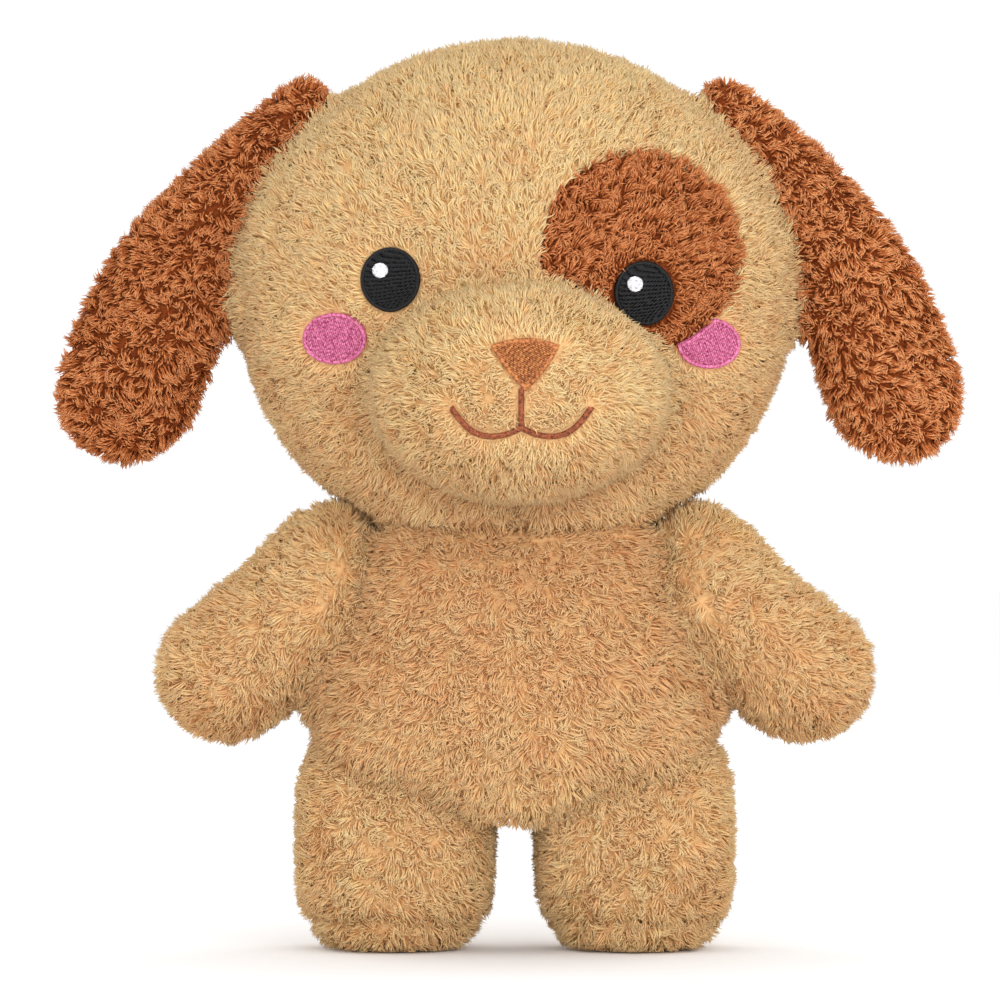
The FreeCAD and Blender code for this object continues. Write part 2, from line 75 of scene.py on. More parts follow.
TORSO_MIDDLE, TORSO_HALF = centre_and_half("torso_stuffing")
HEAD_MIDDLE, HEAD_HALF = centre_and_half("head_stuffing")
MUZZLE_MIDDLE, MUZZLE_HALF = centre_and_half("muzzle_panel")
PATCH_MIDDLE, PATCH_HALF = centre_and_half("eye_patch")
SEAM_Y = HEAD_MIDDLE[1]
SOLE_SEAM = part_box("leg_left_sole")[1].z
JOINTS = {joint["name"]: np.array(joint["pos_m"]) for joint in frame["joints"]}
BODY_NODES = frame["record"]["behaviour"]["bodies"]

# The CAD solids are the outside of the pile. The skin lies this deep under it, and swells a
# little when it is stuffed. The CAD stuffings lie deeper, and the embroidery above the skin.
SKIN_DEPTH = 1.2 * MM
SWELL = 1.0 * MM
STUFFING_DEPTH = 5.3 * MM
SKIN_THICKNESS = 0.9 * MM
STITCH_LIFT = 1.7 * MM

# How far the stuffings shift when the toy is sewn up. shaped() says what each is for.
EAR_DRAW_IN, EAR_DRAW_UP = 6.5 * MM, 3.5 * MM
EAR_REACH = {"left": 1 * MM, "right": 4 * MM}
BELLY_DROP = 8 * MM
SHOULDER_RISE, NECK_RISE = 5 * MM, 3 * MM
HIP_DROP, HIP_TRIM = 7 * MM, 3 * MM
THIGH_RISE, LEG_TRIM = 5 * MM, 2 * MM
CROWN_RISE = 3 * MM

# Heights between which these shifts fade in or out.
TORSO_LOW, TORSO_HIGH = TORSO_MIDDLE[2] - TORSO_HALF[2], TORSO_MIDDLE[2] + TORSO_HALF[2]
CROTCH_ZONE = (TORSO_LOW, TORSO_LOW + 20 * MM)
NECK_ZONE = (TORSO_HIGH - 24 * MM, TORSO_HIGH - 4 * MM)
WAIST_ZONE = (75 * MM, 92 * MM)
THIGH_ZONE = (36 * MM, 52 * MM)
ARM_TOP_ZONE = (95 * MM, 110 * MM)
EAR_ROOT_ZONE = (195 * MM, 235 * MM)
CROWN_ZONE = (195 * MM, 240 * MM)

# The same, as distances from the toy's middle plane.
BETWEEN_LEGS = (4 * MM, 24 * MM)
SHOULDER = (22 * MM, 40 * MM)
HIP = (36 * MM, 50 * MM)
FLANK = (38 * MM, 56 * MM)
LEG_OUTSIDE = (36 * MM, 52 * MM)
ARM_ROOT = (52 * MM, 80 * MM)
EAR_TIP = (80 * MM, 118 * MM)


# -------- meshes as arrays

def places_of(mesh):
    out = np.empty(len(mesh.vertices) * 3)
    mesh.vertices.foreach_get("co", out)
    return out.reshape(-1, 3)


def normals_of(mesh):
    out = np.empty(len(mesh.vertices) * 3)
    mesh.vertex_normals.foreach_get("vector", out)
    return out.reshape(-1, 3)


def set_places(mesh, places):
    mesh.vertices.foreach_set("co", places.ravel())
    mesh.update()


def mesh_object(name, places, triangles, materials=(), choice=None, facing=None):
    """New smooth object from arrays. choice is the material slot of each triangle, and facing
    the way that each place is shaded as facing."""
    mesh = bpy.data.meshes.new(name)
    mesh.vertices.add(len(places))
    mesh.loops.add(triangles.size)
    mesh.polygons.add(len(triangles))
    mesh.vertices.foreach_set("co", places.ravel())
    mesh.polygons.foreach_set("loop_start", np.arange(0, triangles.size, 3, dtype=np.int32))
    mesh.loops.foreach_set("vertex_index", triangles.astype(np.int32).ravel())
    for material in materials:
        mesh.materials.append(material)
    if choice is not None:
        mesh.polygons.foreach_set("material_index", choice.astype(np.int32))
    mesh.update(calc_edges=True)
    mesh.shade_smooth()
    if facing is not None:
        shaded = mesh.attributes.new("custom_normal", "FLOAT_VECTOR", "POINT")
        shaded.data.foreach_set("vector", facing.ravel())
    item = bpy.data.objects.new(name, mesh)
    bpy.context.scene.collection.objects.link(item)
    return item


def unit(vectors):
    return vectors / np.maximum(np.linalg.norm(vectors, axis=-1, keepdims=True), 1e-12)


def settle(item):
    """Apply an object's modifiers."""
    depsgraph = bpy.context.evaluated_depsgraph_get()
    mesh = bpy.data.meshes.new_from_object(item.evaluated_get(depsgraph))
    item.modifiers.clear()
    item.data = mesh


def waves(places, size, seed, count=7):
    """Smooth noise from -1 to 1 whose features are about this size, three values a place."""
    rng = np.random.default_rng(seed)
    out = np.zeros((len(places), 3))
    for part in range(3):
        for _ in range(count):
            way = unit(rng.normal(size=3)) * (2 * math.pi / size) * rng.uniform(0.6, 1.5)
            out[:, part] += np.sin(places @ way + rng.uniform(0, 2 * math.pi))
    return out / math.sqrt(count)


# -------- materials

def linear(colour):
    """Screen colour from 0 to 255 as linear light."""
    share = np.array(colour) / 255
    return np.where(share <= 0.04045, share / 12.92, ((share + 0.055) / 1.055) ** 2.4)


def shader(name, colour, roughness, specular=0.25):
    """Material with a plain colour, and its Principled node."""
    material = bpy.data.materials.new(name)
    material.use_nodes = True
    bsdf = material.node_tree.nodes["Principled BSDF"]
    bsdf.inputs["Base Color"].default_value = (*linear(colour), 1)
    bsdf.inputs["Roughness"].default_value = roughness
    bsdf.inputs["Specular IOR Level"].default_value = specular
    return material, bsdf


def mottle(material, bsdf, colours, scale, bump, stretch=(1, 1, 1)):
    """Noise that runs between two colours and dents the surface. scale is per metre."""
    nodes, links = material.node_tree.nodes, material.node_tree.links
    place = nodes.new("ShaderNodeTexCoord")
    mapping = nodes.new("ShaderNodeMapping")
    mapping.inputs["Scale"].default_value = stretch
    noise = nodes.new("ShaderNodeTexNoise")
    noise.inputs["Scale"].default_value = scale
    noise.inputs["Detail"].default_value = 3
    ramp = nodes.new("ShaderNodeValToRGB")
    ramp.color_ramp.elements[0].position = 0.3
    ramp.color_ramp.elements[1].position = 0.7
    for element, colour in zip(ramp.color_ramp.elements, colours):
        element.color = (*linear(colour), 1)
    dent = nodes.new("ShaderNodeBump")
    dent.inputs["Strength"].default_value = 0.6
    dent.inputs["Distance"].default_value = bump
    links.new(place.outputs["Object"], mapping.inputs["Vector"])
    links.new(mapping.outputs["Vector"], noise.inputs["Vector"])
    links.new(noise.outputs["Fac"], ramp.inputs["Fac"])
    links.new(ramp.outputs["Color"], bsdf.inputs["Base Color"])
    links.new(noise.outputs["Fac"], dent.inputs["Height"])
    links.new(dent.outputs["Normal"], bsdf.inputs["Normal"])
    return material


def blend_colours(first, second, share):
    return tuple(a + (b - a) * share for a, b in zip(first, second))


# Pile colours: root, middle and tip of a tuft at the two ends of each cloth's range.
# The golden roots are paler than its tips: painted light standing in for light scattered down into the pile. The
# brown roots are darker and its tips paler: painted shade low in the pile and painted light on the tips.
LEVELS = 3
PALETTES = {
    "golden": {
        "tones": 6,
        "pale": ((238, 204, 146), (232, 201, 144), (225, 198, 148)),
        "deep": ((226, 169, 117), (220, 165, 114), (216, 167, 119)),
    },
    "brown": {
        "tones": 4,
        "pale": ((142, 76, 38), (188, 110, 62), (220, 150, 98)),
        "deep": ((102, 48, 22), (156, 86, 46), (190, 116, 70)),
    },
}


def pile_materials(palette):
    """Materials of a palette, tone by tone, each tone from root to tip."""
    kind = PALETTES[palette]
    made = []
    for tone in range(kind["tones"]):
        share = tone / (kind["tones"] - 1)
        for level in range(LEVELS):
            colour = blend_colours(kind["pale"][level], kind["deep"][level], share)
            name = f"pile_{palette}_{tone}_{level}"
            made.append(shader(name, colour, 0.8, specular=0.04)[0])
    return made


def knit_material(name, light, dark):
    """Knitted backing of the pile."""
    cloth = shader(name, dark, 0.95, specular=0.04)
    return mottle(*cloth, (dark, light), 900, 0.3 * MM, (1, 1, 1.8))


def thread_material(name, light, dark, roughness=0.38):
    """Shiny embroidery thread, with the fine twist of its plies dented into it. Its colour runs by noise between
    the light and the dark colour: painted highlight and shade on the plies.
    """
    return mottle(*shader(name, light, roughness), (dark, light), 1500, 0.12 * MM)


PILE = {palette: pile_materials(palette) for palette in PALETTES}
BACKING = {
    "golden": knit_material("backing_golden", (230, 190, 138), (216, 172, 120)),
    "brown": knit_material("backing_brown", (140, 70, 32), (112, 50, 22)),
}
THREAD = {
    "black": thread_material("thread_black", (34, 34, 36), (10, 10, 12)),
    "white": thread_material("thread_white", (250, 250, 252), (196, 196, 204)),
    "pink": thread_material("thread_pink", (244, 150, 190), (156, 34, 88)),
    "copper": thread_material("thread_copper", (222, 146, 86), (104, 46, 20)),
    "russet": thread_material("thread_russet", (176, 98, 62), (80, 34, 20)),
}
FILL = mottle(*shader("fibre_fill", (236, 235, 230), 0.9), ((214, 212, 206), (244, 244, 240)),
              260, 0.8 * MM)


# -------- skins

def ramp(values, start, end):
    """0 up to start, 1 from end on, and smooth between them."""
    share = np.clip((values - start) / (end - start), 0, 1)
    return share * share * (3 - 2 * share)


def shaped(node, places):
    """Places of a stuffing as it is once the toy is sewn: the ear roots are drawn up and in
    along the head, the belly hangs between the legs, the shoulders and the tops of the arms lie
    against the head, and the hips and the tops of the legs run into each other."""
    places = places.copy()
    way = np.sign(places[:, 0])
    if node.startswith("ear"):
        high = ramp(places[:, 2], *EAR_ROOT_ZONE)
        places[:, 0] -= way * EAR_DRAW_IN * high
        places[:, 2] += EAR_DRAW_UP * high
        reach = EAR_REACH["left" if "left" in node else "right"]
        places[:, 0] += way * reach * ramp(np.abs(places[:, 0]), *EAR_TIP)
    elif node == "torso_stuffing":
        across = np.abs(places[:, 0])
        low = 1 - ramp(places[:, 2], *CROTCH_ZONE)
        places[:, 2] -= BELLY_DROP * low * (1 - ramp(across, *BETWEEN_LEGS))
        high = ramp(places[:, 2], *NECK_ZONE)
        rise = NECK_RISE + (SHOULDER_RISE - NECK_RISE) * ramp(across, *SHOULDER)
        places[:, 2] += rise * high
        places[:, 2] -= HIP_DROP * low * ramp(across, *HIP)
        hips = 1 - ramp(places[:, 2], *WAIST_ZONE)
        places[:, 0] -= way * HIP_TRIM * hips * ramp(across, *FLANK)
    elif node.startswith("arm"):
        root = 1 - ramp(np.abs(places[:, 0]), *ARM_ROOT)
        places[:, 2] += SHOULDER_RISE * root * ramp(places[:, 2], *ARM_TOP_ZONE)
    elif node.startswith("leg"):
        outer = ramp(np.abs(places[:, 0]), *LEG_OUTSIDE)
        places[:, 0] -= way * LEG_TRIM * outer
        places[:, 2] += THIGH_RISE * outer * ramp(places[:, 2], *THIGH_ZONE)
    elif node == "head_stuffing":
        places[:, 2] += CROWN_RISE * ramp(places[:, 2], *CROWN_ZONE)
    return places


def welded(name, nodes, grow, voxel):
    """One closed mesh round CAD nodes, each grown along its normals until they meet."""
    whole = bmesh.new()
    for node in nodes:
        part = bmesh.new()
        part.from_mesh(frame["nodes"][node].data)
        for vert, place in zip(part.verts, shaped(node, places_of(frame["nodes"][node].data))):
            vert.co = place
        bmesh.ops.remove_doubles(part, verts=part.verts, dist=0.001 * MM)
        part.normal_update()
        for vert in part.verts:
            vert.co += vert.normal * grow
        grown = bpy.data.meshes.new(node)
        part.to_mesh(grown)
        part.free()
        whole.from_mesh(grown)
        bpy.data.meshes.remove(grown)
    mesh = bpy.data.meshes.new(name)
    whole.to_mesh(mesh)
    whole.free()
    item = bpy.data.objects.new(name, mesh)
    bpy.context.scene.collection.objects.link(item)
    remesh = item.modifiers.new("Remesh", "REMESH")
    remesh.mode = "VOXEL"
    remesh.voxel_size = voxel
    settle(item)
    return item


CLOTH_PRESSURE = 4
CLOTH_STEPS = 20


def stuff_cloth(item, limit):
    """Blow a closed cloth up from inside. limit is how far a point may move along each axis."""
    before = places_of(item.data)
    cloth = item.modifiers.new("Stuffing", "CLOTH")
    cloth.settings.use_pressure = True
    cloth.settings.uniform_pressure_force = CLOTH_PRESSURE
    cloth.settings.effector_weights.gravity = 0
    cloth.point_cache.frame_start = 1
    cloth.point_cache.frame_end = CLOTH_STEPS
    for step in range(1, CLOTH_STEPS + 1):
        bpy.context.scene.frame_set(step)
    settle(item)
    moved = places_of(item.data) - before
    set_places(item.data, before + np.clip(moved, -limit, limit))


def smooth(item, factor, turns):
    relax = item.modifiers.new("Relax", "SMOOTH")
    relax.factor = factor
    relax.iterations = turns
    settle(item)


def largest_part(item):
    """Remove all but the largest of a mesh's separate surfaces."""
    whole = bmesh.new()
    whole.from_mesh(item.data)
    left = set(whole.verts)
    parts = []
    while left:
        part, front = set(), [left.pop()]
        while front:
            vert = front.pop()
            part.add(vert)
            for edge in vert.link_edges:
                other = edge.other_vert(vert)
                if other in left:
                    left.discard(other)
                    front.append(other)
        parts.append(part)
    parts.sort(key=len)
    for part in parts[:-1]:
        bmesh.ops.delete(whole, geom=list(part), context="VERTS")
    whole.to_mesh(item.data)
    whole.free()


def stuffing_nodes(body):
    return [node for node in BODY_NODES[body] if node.endswith("stuffing")]


def stuffing_tree(body):
    """Search tree of a body's CAD stuffings."""
    places, faces = [], []
    for node in stuffing_nodes(body):
        mesh = frame["nodes"][node].data
        faces += [[vert + len(places) for vert in face.vertices] for face in mesh.polygons]
        places += shaped(node, places_of(mesh)).tolist()
    return BVHTree.FromPolygons(places, faces)


def distances_to(bodies, places):
    """Distance from each place to each body's stuffing, one column a body."""
    out = np.empty((len(places), len(bodies)))
    spots = [Vector(place) for place in places]
    for column, body in enumerate(bodies):
        tree = STUFFING_TREES[body]
        out[:, column] = [tree.find_nearest(spot)[3] for spot in spots]
        out[:, column] += ROOT_SHIFT.get(body.split("_")[0], 0.0)
    return out


def stuffed_skin(bodies, voxel, neighbour):
    """Closed cloth round several bodies, blown up by its stuffing. It lies under the pile, but
    beside its neighbour it comes out to the pile's surface."""
    nodes = [node for body in bodies for node in stuffing_nodes(body)]
    item = welded("_".join(bodies), nodes, STUFFING_DEPTH + WELD_OVERLAP, voxel)
    largest_part(item)
    places, normals = places_of(item.data), normals_of(item.data)
    limits = np.full((len(places), 3), SWELL)
    nearest = distances_to(bodies, places).argmin(1)
    on_ear = np.array([body.startswith("ear") for body in bodies])[nearest]
    limits[on_ear, 1] = EAR_SWELL
    clear = (distances_to([neighbour], places) - MEET_DISTANCE) / CLEAR_DISTANCE
    clear = np.clip(clear, 0, 1)
    sunk = (limits + SKIN_DEPTH) * clear + WELD_OVERLAP
    set_places(item.data, places - normals * sunk)
    stuff_cloth(item, limits)
    smooth(item, 0.5, 3)
    rounder = item.modifiers.new("Rounder", "SUBSURF")
    rounder.levels = 1
    settle(item)
    return item


def draw_in(item, bodies, seams):
    """Pull a skin in along its seams and round the roots of its limbs. seams gives each seam as
    the distance from it, its depth and its width."""
    places, normals = places_of(item.data), normals_of(item.data)
    distances = distances_to(bodies, places)
    order = np.argsort(distances, axis=1)
    apart = np.sort(distances, axis=1)
    depths = np.array([ROOT_SEAM_DEPTH.get(body.split("_")[0], 0.0) for body in bodies])
    depth = np.maximum(depths[order[:, 0]], depths[order[:, 1]])
    root_seam = (apart[:, 1] - apart[:, 0], depth, ROOT_SEAM_WIDTH)
    for distance, depth, width in [root_seam, *seams(places)]:
        places -= normals * (depth * np.exp(-((distance / width) ** 2)))[:, None]
    set_places(item.data, places)


def cut_along(item, planes):
    """Put edges where a skin's seams run, so that its panels part there."""
    cutter = bmesh.new()
    cutter.from_mesh(item.data)
    for point, normal in planes:
        everything = cutter.verts[:] + cutter.edges[:] + cutter.faces[:]
        bmesh.ops.bisect_plane(
            cutter, geom=everything, dist=0.02 * MM, plane_co=point, plane_no=normal
        )
    bmesh.ops.triangulate(cutter, faces=cutter.faces[:])
    cutter.to_mesh(item.data)
    cutter.free()


def make_skin(bodies, voxel, neighbour, planes, seams):
    """One sewn skin round several bodies, as arrays, with the body of each triangle."""
    item = stuffed_skin(bodies, voxel, neighbour)
    draw_in(item, bodies, seams)
    cut_along(item, planes)
    corners = np.empty(len(item.data.loops), dtype=np.int32)
    item.data.loops.foreach_get("vertex_index", corners)
    skin = {
        "places": places_of(item.data),
        "normals": normals_of(item.data),
        "triangles": corners.reshape(-1, 3),
    }
    middles = skin["places"][skin["triangles"]].mean(1)
    skin["body"] = np.array(bodies)[distances_to(bodies, middles).argmin(1)]
    bpy.data.objects.remove(item)
    return skin


def tree_of(skin):
    return BVHTree.FromPolygons(skin["places"].tolist(), skin["triangles"].tolist())


# Bodies whose skins are sewn into one, and how fine each skin is made.
SEWN = {
    "lower": ["torso", "arm_left", "arm_right", "leg_left", "leg_right"],
    "upper": ["head", "ear_left", "ear_right"],
}
SKIN_VOXEL = {"lower": 3.0 * MM, "upper": 3.2 * MM}
# The grown solids overlap by twice this where two bodies meet, so that they weld.
WELD_OVERLAP = 1.0 * MM
# A skin lies at the outside of the pile up to this far from its neighbour's stuffing, and is
# all the way under the pile this much farther from it.
MEET_DISTANCE, CLEAR_DISTANCE = 6.4 * MM, 5.0 * MM
# How far an ear's front and back may swell.
EAR_SWELL = 3.0 * MM
SEAM_DEPTH, SEAM_WIDTH = 1.3 * MM, 2.2 * MM
SOLE_SEAM_DEPTH = 1.6 * MM
# Depth and width of each. The bulge is full up to this share of the muzzle's half height short
# of its edge, and fades towards it.
CHIN_DART = (1.8 * MM, 2.4 * MM)
MUZZLE_CREASE = (3.4 * MM, 3.6 * MM)
MUZZLE_BULGE = (-4.5 * MM, 12 * MM)
BULGE_SHARE = 0.6
# Depth of the crease at a limb's root, and how much nearer to the limb's stuffing than to its
# parent's the skin has to be before it is the limb's.
ROOT_SEAM_DEPTH = {"arm": 3.2 * MM, "leg": 1.0 * MM, "ear": 1.6 * MM}
ROOT_SHIFT = {"arm": 6 * MM, "leg": 0.0, "ear": 0.0}
ROOT_SEAM_WIDTH = 6 * MM
FRONT_PLANE = ((0, SEAM_Y, 0), (0, 1, 0))
MIDDLE_PLANE = ((0, 0, 0), (1, 0, 0))
SOLE_PLANE = ((0, 0, SOLE_SEAM), (0, 0, 1))
# Stands for a seam that doesn't run here.
FAR = 1.0


def side_and_back_seams(places):
    x, y = places[:, 0], places[:, 1]
    behind = np.where(y > SEAM_Y, x, FAR)
    return [(y - SEAM_Y, SEAM_DEPTH, SEAM_WIDTH), (behind, SEAM_DEPTH, SEAM_WIDTH)]


def upper_seams(places):
    """Side and back seams, the short dart under the chin, and the crease round the muzzle with
    its bulge, which is a seam that is drawn out."""
    x, y, z = places.T
    below = z - (MUZZLE_MIDDLE[2] - MUZZLE_HALF[2])
    dart = np.where((y < SEAM_Y) & (below < 0), x - MUZZLE_MIDDLE[0], FAR)
    from_edge = (oval_distance(places, MUZZLE_MIDDLE, MUZZLE_HALF) - 1) * MUZZLE_HALF[2]
    crease = np.where(y < SEAM_Y, from_edge, FAR)
    past_full = np.maximum(from_edge + MUZZLE_HALF[2] * BULGE_SHARE, 0)
    bulge = np.where(y < SEAM_Y, past_full, FAR)
    shaping = [(dart, *CHIN_DART), (crease, *MUZZLE_CREASE), (bulge, *MUZZLE_BULGE)]
    return side_and_back_seams(places) + shaping


def lower_seams(places):
    """Side, back and sole seams."""
    sole = (places[:, 2] - SOLE_SEAM, SOLE_SEAM_DEPTH, SEAM_WIDTH)
    return side_and_back_seams(places) + [sole]


def build_skins():
    halves = [FRONT_PLANE, MIDDLE_PLANE]
    cuts = {"lower": [*halves, SOLE_PLANE], "upper": halves}
    seams = {"lower": lower_seams, "upper": upper_seams}
    neighbours = {"lower": "head", "upper": "torso"}
    return {
        part: make_skin(bodies, SKIN_VOXEL[part], neighbours[part], cuts[part], seams[part])
        for part, bodies in SEWN.items()
    }


def skin_of(skin, body):
    """The part of a sewn skin that belongs to one body."""
    return {**skin, "triangles": skin["triangles"][skin["body"] == body]}


# -------- panels

def oval_distance(places, middle, half):
    """1 on the oval round a box, seen from the front, less inside it and more outside."""
    across = (places[:, 0] - middle[0]) / half[0]
    up = (places[:, 2] - middle[2]) / half[2]
    return np.hypot(across, up)


def panel_names(body, places):
    """Name of the panel that each place of a body's skin belongs to."""
    x, y, z = places.T
    front = y < SEAM_Y
    if body in ("torso", "head"):
        back = np.where(x > 0, f"{body}_back_left", f"{body}_back_right")
        names = np.where(front, f"{body}_front", back)
    else:
        names = np.where(front, f"{body}_front", f"{body}_back")
    if body == "head":
        in_patch = front & (oval_distance(places, PATCH_MIDDLE, PATCH_HALF) < 1)
        names = np.where(in_patch, "eye_patch", names)
        forward = y < MUZZLE_MIDDLE[1] + MUZZLE_HALF[1]
        in_muzzle = forward & (oval_distance(places, MUZZLE_MIDDLE, MUZZLE_HALF) < 1)
        names = np.where(in_muzzle, "muzzle", names)
    if body.startswith("leg"):
        names = np.where(z < SOLE_SEAM, f"{body}_sole", names)
    return names


def attach(piece, body):
    """Torso and head pieces ride on their bodies. A limb's piece keeps its place, with its transform baked into
    its mesh.
    """
    if body in ("torso", "head"):
        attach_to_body(piece, body)
    else:
        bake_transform(piece)


def cad_panel(panel):
    """CAD node that a panel stands for."""
    return panel if panel in frame["nodes"] else f"{panel}_panel"


def slot_of(panel):
    if panel.startswith("ear") or panel == "eye_patch":
        return "brown_plush"
    return "cream_plush" if panel.startswith(("head", "muzzle")) else "tan_plush"


def palette_of(panel):
    return "brown" if slot_of(panel) == "brown_plush" else "golden"


def backing_shell(name, skin, chosen, material):
    """Closed sheet of some of a skin's triangles, as thick as the knitted backing."""
    used, corners = np.unique(skin["triangles"][chosen], return_inverse=True)
    outer = corners.reshape(-1, 3)
    top = skin["places"][used]
    bottom = top - skin["normals"][used] * SKIN_THICKNESS
    count = len(used)
    edges = np.concatenate([outer[:, [0, 1]], outer[:, [1, 2]], outer[:, [2, 0]]])
    keys = edges[:, 0] * count + edges[:, 1]
    lone = edges[~np.isin(keys, edges[:, 1] * count + edges[:, 0])]
    start, end = lone.T
    rim = [np.stack([end, start, start + count], 1), np.stack([end, start + count, end + count], 1)]
    triangles = np.concatenate([outer, outer[:, ::-1] + count, *rim])
    return mesh_object(name, np.concatenate([top, bottom]), triangles, [material])


def build_backings(body, skin):
    middles = skin["places"][skin["triangles"]].mean(1)
    names = panel_names(body, middles)
    for panel in sorted(set(names)):
        material = BACKING[palette_of(panel)]
        cloth = backing_shell(f"{panel}_cloth", skin, names == panel, material)
        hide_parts(cad_panel(panel))
        attach(cloth, body)


# -------- embroidery outlines

# How far the shifted stuffing moves the embroidery from where the frame has it, and how far
# the line under the nose stands off the middle.
NOSE_DROP, MOUTH_RISE, EYE_DROP = 2.2 * MM, 1.9 * MM, 1.2 * MM
NOSE_ASIDE = 0.2 * MM
# The nose's upper corners are this share of its half height above its middle.
NOSE_CORNER = 0.72
# The smile's two halves meet this far above their lowest place, dip until this share of their
# width, and climb from there to this share of the half height above their middle.
MEET_RISE, DIP_RISE, DIP_SHARE, SMILE_RISE = 3.0 * MM, 0.7 * MM, 0.42, 0.1


def oval_outline(node, count=56):
    """Outline of an oval CAD node, anticlockwise from the front, as places across and up."""
    middle, half = centre_and_half(node)
    if node.startswith("eye"):
        middle[2] -= EYE_DROP
    turn = np.linspace(0, 2 * math.pi, count, endpoint=False)
    return np.stack([middle[0] + half[0] * np.cos(turn), middle[2] + half[2] * np.sin(turn)], 1)


def bowed(start, end, bulge, count=10):
    """Points along a shallow arc between two places, without its end."""
    share = np.linspace(0, 1, count, endpoint=False)[:, None]
    run = end - start
    aside = np.array([run[1], -run[0]])
    return start + run * share + aside * bulge * 4 * share * (1 - share)


def nose_outline():
    """Rounded triangle with its point down and a crowned top."""
    middle, half = centre_and_half("nose")
    middle[2] -= NOSE_DROP
    low = np.array([middle[0] + NOSE_ASIDE, middle[2] - half[2]])
    right = np.array([middle[0] + half[0], middle[2] + NOSE_CORNER * half[2]])
    left = np.array([middle[0] - half[0], middle[2] + NOSE_CORNER * half[2]])
    sides = [bowed(low, right, 0.05), bowed(right, left, 0.1), bowed(left, low, 0.05)]
    return np.concatenate(sides)


def mouth_paths():
    """The line under the nose and the two halves of the smile, each as a path."""
    middle, half = centre_and_half("mouth")
    middle[2] += MOUTH_RISE
    nose_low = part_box("nose")[0].z - NOSE_DROP
    low = middle[2] - half[2]
    meet = np.array([middle[0] + NOSE_ASIDE, low + MEET_RISE])
    dip = low + DIP_RISE
    stem = np.stack([np.full(8, meet[0]), np.linspace(nose_low + 0.6 * MM, meet[1], 8)], 1)
    paths = [stem]
    for side in (-1, 1):
        share = np.linspace(0, 1, 18)
        across = meet[0] + side * half[0] * share
        sag = (meet[1] - dip) * (1 - (np.minimum(share, DIP_SHARE) / DIP_SHARE)) ** 2
        rest = np.maximum(share - DIP_SHARE, 0) / (1 - DIP_SHARE)
        climb = (middle[2] + half[2] * SMILE_RISE - dip) * rest**2.3
        paths.append(np.stack([across, dip + sag + climb], 1))
    return paths


def off_the_patch(outline):
    """The outline with its places under the eye patch moved out to the patch's edge."""
    middle = PATCH_MIDDLE[[0, 2]]
    away = outline - middle
    distance = np.linalg.norm(away, axis=1, keepdims=True)
    return middle + away * np.maximum(1, PATCH_HALF[0] / distance)


EYES = {side: oval_outline(f"eye_{side}") for side in SIDES}
CHEEKS = {side: off_the_patch(oval_outline(f"cheek_{side}")) for side in SIDES}
NOSE = nose_outline()
MOUTH = mouth_paths()
MOUTH_HALF_WIDTH = 0.75 * MM


def nearest_on_path(points, path, closed):
    """Distance from points to a path, and the way from its nearest place to each point."""
    starts = path if closed else path[:-1]
    ends = np.roll(path, -1, 0) if closed else path[1:]
    run = ends - starts
    share = ((points[:, None] - starts) * run).sum(2) / (run**2).sum(1)
    away = points[:, None] - (starts + np.clip(share, 0, 1)[..., None] * run)
    distance = np.linalg.norm(away, axis=2)
    best = distance.argmin(1)
    rows = np.arange(len(points))
    return distance[rows, best], away[rows, best]


def inside(points, outline):
    """True for points inside a closed outline."""
    starts, ends = outline, np.roll(outline, -1, 0)
    x, z = points[:, :1], points[:, 1:]
    crosses = (starts[:, 1] > z) != (ends[:, 1] > z)
    rise = np.where(ends[:, 1] == starts[:, 1], 1e-12, ends[:, 1] - starts[:, 1])
    meets = starts[:, 0] + (z - starts[:, 1]) * (ends[:, 0] - starts[:, 0]) / rise
    return (crosses & (x < meets)).sum(1) % 2 == 1


def clear_of_trims(places, reach):
    """How near each place is to the embroidery, from 0 to 1, which way is off it, and
    whether it is under it."""
    points = places[:, [0, 2]]
    near = np.zeros(len(points))
    off = np.zeros((len(points), 3))
    under = np.zeros(len(points), dtype=bool)
    trims = [(outline, True, 0.0) for outline in (*EYES.values(), *CHEEKS.values(), NOSE)]
    trims += [(path, False, MOUTH_HALF_WIDTH) for path in MOUTH]
    for path, closed, half_width in trims:
        distance, away = nearest_on_path(points, path, closed)
        distance = distance - half_width
        covered = inside(points, path) if closed else distance < 0
        under |= covered
        closeness = np.clip(1 - distance / reach, 0, 1)
        more = closeness > near
        near = np.where(more, closeness, near)
        off[more] = unit(np.stack([away[more, 0], 0 * away[more, 0], away[more, 1]], 1))
    return near, off, under


# -------- pile

STRAND_SINK = 0.5 * MM
# Width of a tuft at each of its rings, and its thickness, as shares of its full width.
RING_SHARE = (0.75, 1.0, 0.72)
FLATNESS = 0.75
# How much a tuft is shaded as the skin under it, rather than as a round thread.
SOFT_SHADING = 0.2
# No tuft comes nearer to the floor.
SMALLEST_Z = 0.25 * MM
# Beside the embroidery, tufts lean away from it from this near.
TRIM_REACH = 5.5 * MM
# A place is hidden if another body's skin is near this much above it.
PROBE_LIFT = 4 * MM
HIDING_REACH, HIDING_FADE = 7 * MM, 3 * MM
# Share of the hidden tufts that are left out.
HIDDEN_THINNING = 0.4
# The middle of a limb's comb lies this far inward of its joint.
COMB_INWARD = 35 * MM


def strand_lines(roots, normals, comb, length, leans, curl):
    """Centre lines of tufts: one more place than they have rings."""
    spot = roots - normals * STRAND_SINK
    across = np.cross(normals, comb)
    lines = [spot]
    for step in range(LEVELS):
        share = (step + 0.5) / LEVELS
        lean = (leans[0] + (leans[1] - leans[0]) * share)[:, None]
        turn = (curl * share)[:, None]
        way = comb * np.cos(turn) + across * np.sin(turn)
        spot = spot + (length / LEVELS)[:, None] * (normals * np.cos(lean) + way * np.sin(lean))
        lines.append(spot)
    return np.stack(lines, 1)


